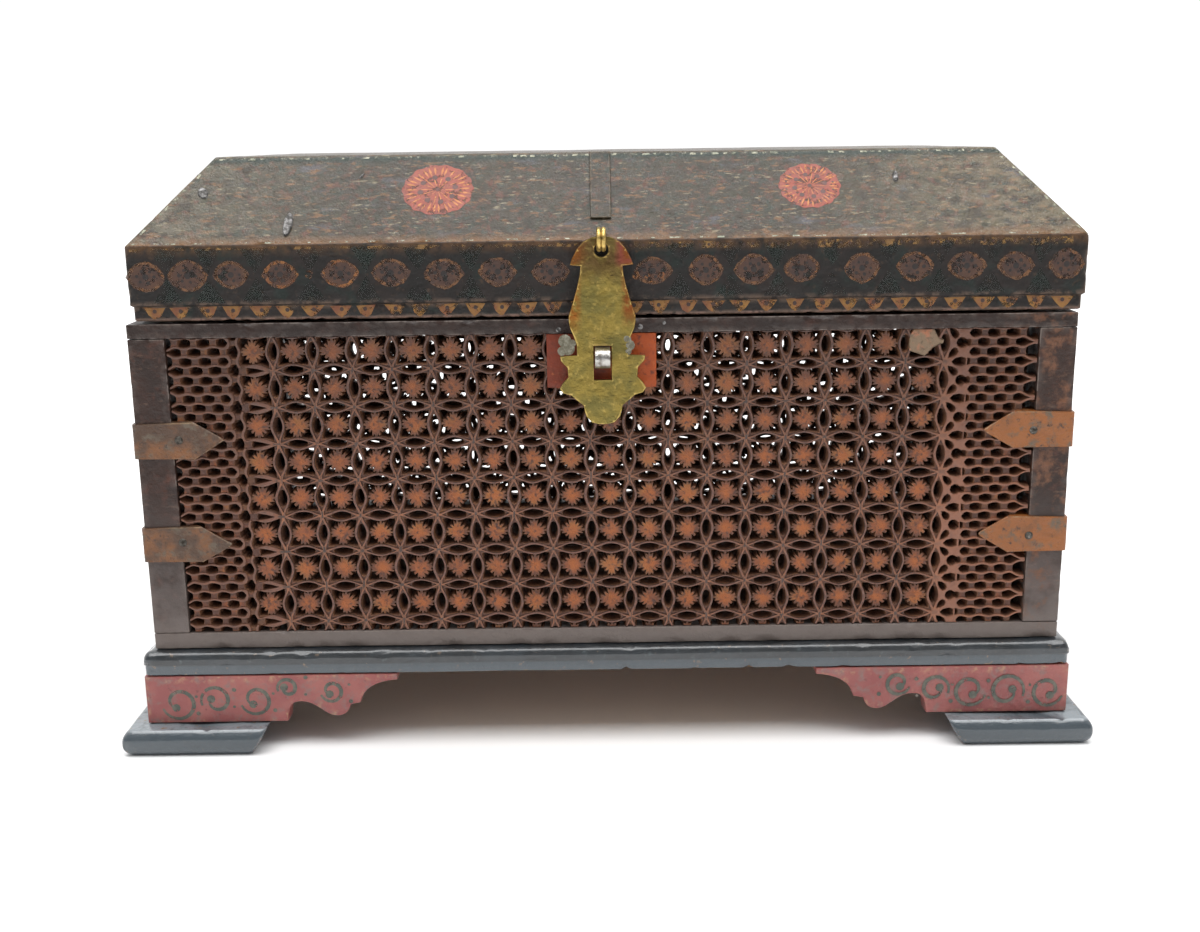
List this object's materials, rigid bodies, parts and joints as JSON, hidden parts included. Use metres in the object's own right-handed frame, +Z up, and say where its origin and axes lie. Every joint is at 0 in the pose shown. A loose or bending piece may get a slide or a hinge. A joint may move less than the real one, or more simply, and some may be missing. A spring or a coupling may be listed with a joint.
{
  "type": "pierced casket",
  "caption": "Wooden casket with pierced lattice sides, a painted hipped lid on rear hinges, a brass hasp over a staple, scalloped brackets and block feet.",
  "frame": {"origin": "on the ground under the middle of the casket", "axes": "+X to the casket's right seen from the front, -Y towards the viewer of its front, +Z up"},
  "size_m": [0.429, 0.259, 0.2583],
  "materials": {
    "dark_wood": "worn dark varnish",
    "lattice_wood": "carved and painted, worn at the surface",
    "plain_wood": "bare",
    "black_lacquer": "glossy black lacquer, chipped",
    "red_lacquer": "red lacquer with painted scrolls",
    "painted_wood": "painted and varnished, aged",
    "strap_metal": "painted brass sheet, worn",
    "brass": "old, brushed",
    "steel": "worn"
  },
  "bodies": {
    "box": {"foot_front_left": "black_lacquer", "corner_post_front_left": "dark_wood", "corner_strap_front_left_upper": "strap_metal", "corner_strap_front_left_lower": "strap_metal", "foot_front_right": "black_lacquer", "corner_post_front_right": "dark_wood", "corner_strap_front_right_upper": "strap_metal", "corner_strap_front_right_lower": "strap_metal", "foot_back_left": "black_lacquer", "corner_post_back_left": "dark_wood", "corner_strap_back_left_upper": "strap_metal", "corner_strap_back_left_lower": "strap_metal", "foot_back_right": "black_lacquer", "corner_post_back_right": "dark_wood", "corner_strap_back_right_upper": "strap_metal", "corner_strap_back_right_lower": "strap_metal", "bracket_front_left": "red_lacquer", "bracket_front_right": "red_lacquer", "moulding_front": "black_lacquer", "bottom_rail_front": "dark_wood", "top_rail_front": "dark_wood", "lattice_panel_front": "lattice_wood", "bracket_right_left": "red_lacquer", "bracket_right_right": "red_lacquer", "moulding_right": "black_lacquer", "bottom_rail_right": "dark_wood", "top_rail_right": "dark_wood", "lattice_panel_right": "lattice_wood", "bracket_back_left": "red_lacquer", "bracket_back_right": "red_lacquer", "moulding_back": "black_lacquer", "bottom_rail_back": "dark_wood", "top_rail_back": "dark_wood", "lattice_panel_back": "lattice_wood", "bracket_left_left": "red_lacquer", "bracket_left_right": "red_lacquer", "moulding_left": "black_lacquer", "bottom_rail_left": "dark_wood", "top_rail_left": "dark_wood", "lattice_panel_left": "lattice_wood", "floor_board": "plain_wood", "hinge_left_body_leaf": "brass", "hinge_left_pin": "steel", "hinge_right_body_leaf": "brass", "hinge_right_pin": "steel", "lock_staple": "steel"},
    "lid": {"lid_band_front": "painted_wood", "lid_slope_front": "painted_wood", "lid_band_right": "painted_wood", "lid_slope_right": "painted_wood", "lid_band_back": "painted_wood", "lid_slope_back": "painted_wood", "lid_band_left": "painted_wood", "lid_slope_left": "painted_wood", "lid_top_board": "painted_wood", "lid_centre_strap": "strap_metal", "hinge_left_lid_leaf": "brass", "hinge_right_lid_leaf": "brass", "hasp_ring": "brass"},
    "hasp": {"hasp": "brass"}
  },
  "joints": [
    {"name": "lid_hinge", "type": "hinge", "parent": "box", "child": "lid", "pos_m": [0, 0.1185, 0.19025], "axis": [-1, 0, 0], "range_deg": [0, 105]},
    {"name": "hasp_swing", "type": "hinge", "parent": "lid", "child": "hasp", "pos_m": [0, -0.1215, 0.223], "axis": [-1, 0, 0], "range_deg": [0, 150]}
  ]
}
